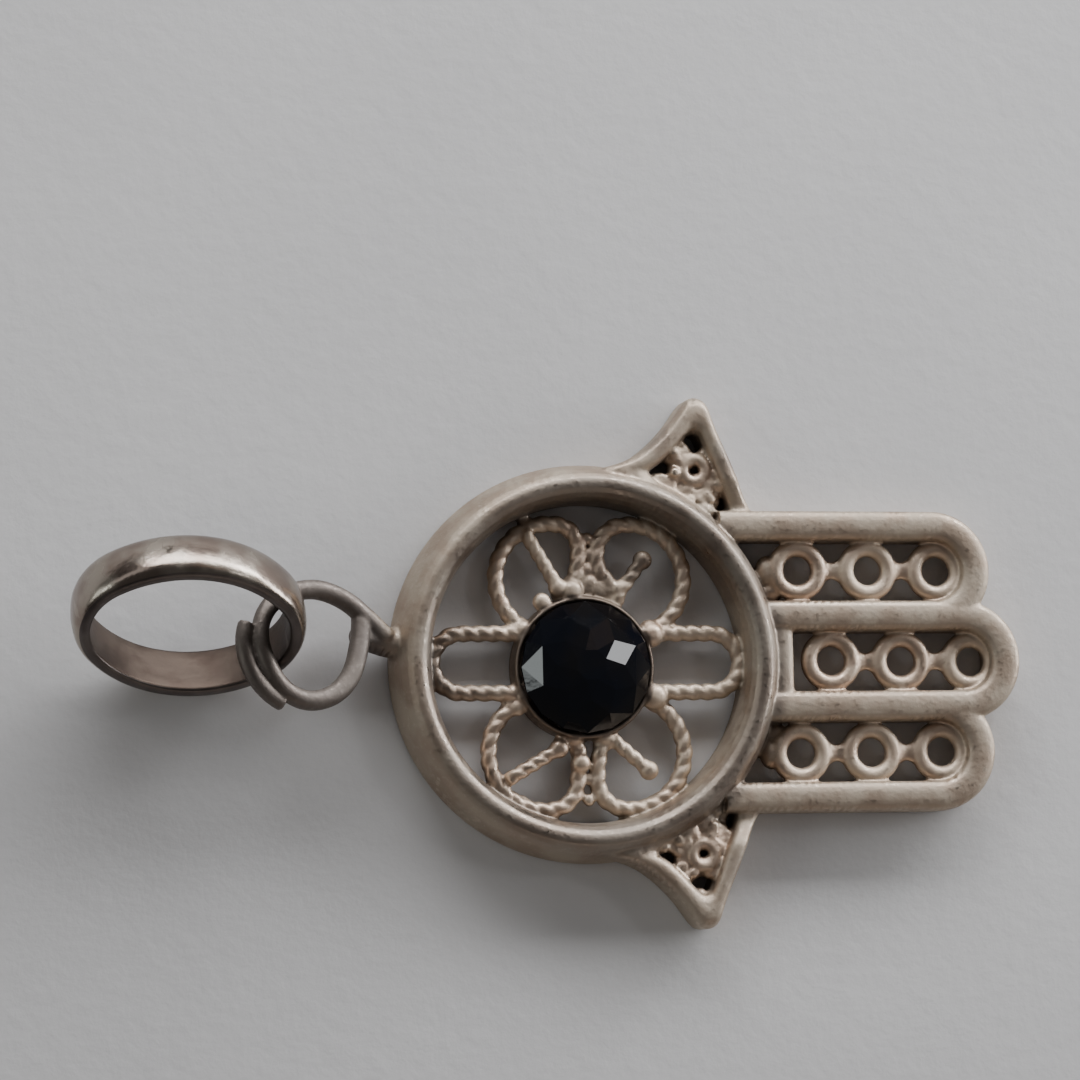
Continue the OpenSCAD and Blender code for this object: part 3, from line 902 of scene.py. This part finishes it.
in_flower = from_middle < FLOWER_R
in_rings = np.zeros(len(x), bool)
for row, tip in ((0, MIDDLE_TIP_X), (FINGER_PITCH, OUTER_TIP_X), (-FINGER_PITCH, OUTER_TIP_X)):
    in_rings |= np.hypot(np.clip(x - tip, 0, None), y - row) < RING_HALF_W
in_rings &= (x > 0) & (from_middle > RINGS_R) & ((wide > 1) | (x > FOOT_END_X))
in_frames = ~in_flower & (x > FRAMES_X) & (wide < FRAMES_HALF_W) & (from_middle > FRAMES_R) & ~in_rings
in_thumbs = ~in_frames & (x > THUMBS_X) & (wide > THUMBS_HALF_W) & (from_middle > THUMBS_R)
in_loop = (x < LOOP_X) & (from_middle > LOOP_R)
in_palm_ring = ~(in_flower | in_rings | in_frames | in_thumbs | in_loop)
in_bed = between_legs(x, wide, WIRE_BED_PALM_R, WIRE_BED_LEG_Y) & (x > WIRE_BED_X) & (wide > WIRE_BED_Y)
in_bed &= (z > WIRE_BED_Z[0]) & (z < WIRE_BED_Z[1])

HAND_PIECES = (
    ("hand_flower_and_seat", in_flower, WIRE_SILVER),
    ("hand_finger_rings", in_rings, WIRE_SILVER),
    ("hand_finger_frames", in_frames, SILVER),
    ("hand_thumbs", in_thumbs, SILVER),
    ("hand_loop", in_loop, SILVER),
    ("hand_palm_ring", in_palm_ring, SILVER),
)
for name, mask, finish in HAND_PIECES:
    ob = piece(name, v, f[mask], finish, normals)
    if finish is SILVER:
        ob.data.materials.append(WIRE_SILVER)
        ob.data.polygons.foreach_set("material_index", in_bed[mask].astype(int))
    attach(ob, "root")
    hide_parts("hand")

# Bail: the same four-arc oval as the CAD part, with a rounder band

BAIL_AT = (-12.64, 1.27, 2.5853)
# The bail is turned in its own plane and then leans about X, in degrees
BAIL_LEAN, BAIL_TURN = 50, -8.3
HALF_LONG, HALF_WIDE = 3.556, 2.79
END_R = 2.3
# The arcs of the sides run into those of the ends without a kink
END_C = HALF_LONG - END_R
SIDE_R = (END_C ** 2 + HALF_WIDE ** 2 - END_R ** 2) / (2 * (HALF_WIDE - END_R))
SIDE_C = SIDE_R - HALF_WIDE
JOIN = math.degrees(math.atan2(SIDE_C, END_C))
OVAL = (
    # centre, radius, from and to in degrees
    ((END_C, 0), END_R, -JOIN, JOIN),
    ((0, -SIDE_C), SIDE_R, JOIN, 180 - JOIN),
    ((-END_C, 0), END_R, 180 - JOIN, 180 + JOIN),
    ((0, SIDE_C), SIDE_R, 180 + JOIN, 360 - JOIN),
)
ARC_STEPS = 60
# Upper half of the band's section: depth in from the dome's top, and height from the band's middle
HALF_BAND = (
    (0.0, 0.0), (0.01, 0.22), (0.026, 0.38), (0.052, 0.52), (0.092, 0.635), (0.145, 0.73), (0.21, 0.795),
    (0.28, 0.835), (0.35, 0.848), (0.44, 0.845), (0.49, 0.83), (0.522, 0.79), (0.537, 0.71), (0.539, 0.4),
    (0.539, 0.0),
)
BAND = HALF_BAND + tuple((d, -h) for d, h in HALF_BAND[-2:0:-1])
# Past this depth the band's face is its inside, and past this height its rim
INSIDE_DEPTH, RIM_HEIGHT = 0.52, 0.79

rows = []
for (cx, cy), r, a0, a1 in OVAL:
    for i in range(ARC_STEPS):
        a = math.radians(a0 + (a1 - a0) * i / ARC_STEPS)
        rows.append([(cx + (r - d) * math.cos(a), cy + (r - d) * math.sin(a), h) for d, h in BAND])
rows = np.array(rows) @ turned(BAIL_LEAN, BAIL_TURN, "Z").T + BAIL_AT
bail = piece("bail_band", *strip(rows, True), BAIL_SILVER)
bail.data.materials.append(BAIL_RIM_PAINTED_SHADE)
bail.data.materials.append(BAIL_INSIDE_PAINTED_SHADE)
# The rim and the inside get the darker copies, painted shade
finish_of = [2 if d > INSIDE_DEPTH else 1 if abs(h) > RIM_HEIGHT else 0 for d, h in BAND]
bail.data.polygons.foreach_set("material_index", finish_of * len(rows))
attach(bail, "root")
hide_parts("bail")

# Stone: the CAD part's own facets, flat shaded

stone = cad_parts["stone"]
stone.data.materials.clear()
stone.data.materials.append(STONE_GLOSS)

# Paper, lights and camera, in metres

PAPER_HALF = 0.25
corners = [(sx * PAPER_HALF, sy * PAPER_HALF, 0) for sx, sy in ((-1, -1), (1, -1), (1, 1), (-1, 1))]
me = bpy.data.meshes.new("paper")
me.from_pydata(corners, [], [(0, 1, 2, 3)])
me.materials.append(PAPER_PALE)
floor = bpy.data.objects.new("paper", me)
bpy.context.scene.collection.objects.link(floor)

LIGHTS = (
    # name, place, size, watts, colour, what it faces
    # Low windows beyond the hand's +Y edge and round its fingertips
    ("window_north", (0.0675, 0.1458, 0.0626), (0.286, 0.054), 0.45, (0.97, 0.975, 0.99), (0.0675, 0, 0)),
    ("window_northeast", (0.158, 0.123, 0.055), (0.12, 0.03), 0.16, (0.97, 0.975, 0.99), (0, 0, 0)),
    ("window_east_low", (0.192, 0.027, 0.046), (0.08, 0.056), 0.17, (0.97, 0.98, 1.0), (0, 0, 0)),
    # Windows further off, on the side of the fingertips and on the side of the bail
    ("window_northwest", (-0.30, 0.25, 0.24), (0.25, 0.1), 0.07, (0.95, 0.97, 1.0), (0, 0, 0)),
    ("window_east", (0.41, 0.185, 0.40), (0.07, 0.06), 0.13, (0.97, 0.98, 1.0), (0, 0, 0)),
    ("window_west", (-0.53, 0.07, 0.27), (0.2, 0.08), 0.24, (0.93, 1.0, 0.99), (0, 0, 0)),
    ("window_west_low", (-0.5, 0.035, 0.105), (0.24, 0.06), 0.14, (0.93, 1.0, 0.99), (0, 0, 0)),
    # Warm light that the room throws back
    ("wall_south", (0.10, -0.42, 0.245), (0.5, 0.12), 0.2, (1.0, 0.88, 0.78), (0, 0, 0)),
    ("wall_high_north", (0.2, 0.33, 0.46), (0.25, 0.12), 0.022, (1.0, 0.7, 0.55), (0, 0, 0)),
)
for name, at, size, watts, colour, target in LIGHTS:
    data = bpy.data.lights.new(name, "AREA")
    data.shape = "RECTANGLE"
    data.size, data.size_y = size
    data.energy = watts
    data.color = colour
    lamp = bpy.data.objects.new(name, data)
    bpy.context.scene.collection.objects.link(lamp)
    lamp.location = at
    lamp.rotation_euler = (Vector(target) - Vector(at)).to_track_quat("-Z", "Y").to_euler()

ROOM_COLOUR = (0.35, 0.338, 0.335, 1)
ROOM_STRENGTH = 0.24
world = bpy.data.worlds.new("room")
bpy.context.scene.world = world
world.use_nodes = True
background = world.node_tree.nodes["Background"]
background.inputs["Color"].default_value = ROOM_COLOUR
background.inputs["Strength"].default_value = ROOM_STRENGTH

# The camera leans off the vertical, towards a bearing measured from -X, and rolls about its own axis
CAMERA_AWAY = 0.12
LEAN, BEARING, ROLL = math.radians(14), math.radians(28), math.radians(1.25)
# The place on the paper that it looks at, in millimetres
CAMERA_SPOT = (-1.28, 3.91, 0)
SENSOR_W, LENS = 36.0, 128.0

away = Vector((-math.sin(LEAN) * math.cos(BEARING), -math.sin(LEAN) * math.sin(BEARING), math.cos(LEAN)))
level = Vector((0, 1, 0)).cross(away).normalized()
upright = away.cross(level)
right = math.cos(ROLL) * level - math.sin(ROLL) * upright
up = math.sin(ROLL) * level + math.cos(ROLL) * upright
cam_data = bpy.data.cameras.new("camera")
cam_data.sensor_width = SENSOR_W
cam_data.lens = LENS
cam_data.clip_start = 0.005
cam = bpy.data.objects.new("camera", cam_data)
bpy.context.scene.collection.objects.link(cam)
cam_at = Vector(CAMERA_SPOT) * MM + away * CAMERA_AWAY
cam.matrix_world = Matrix.Translation(cam_at) @ Matrix((right, up, away)).transposed().to_4x4()
bpy.context.scene.camera = cam
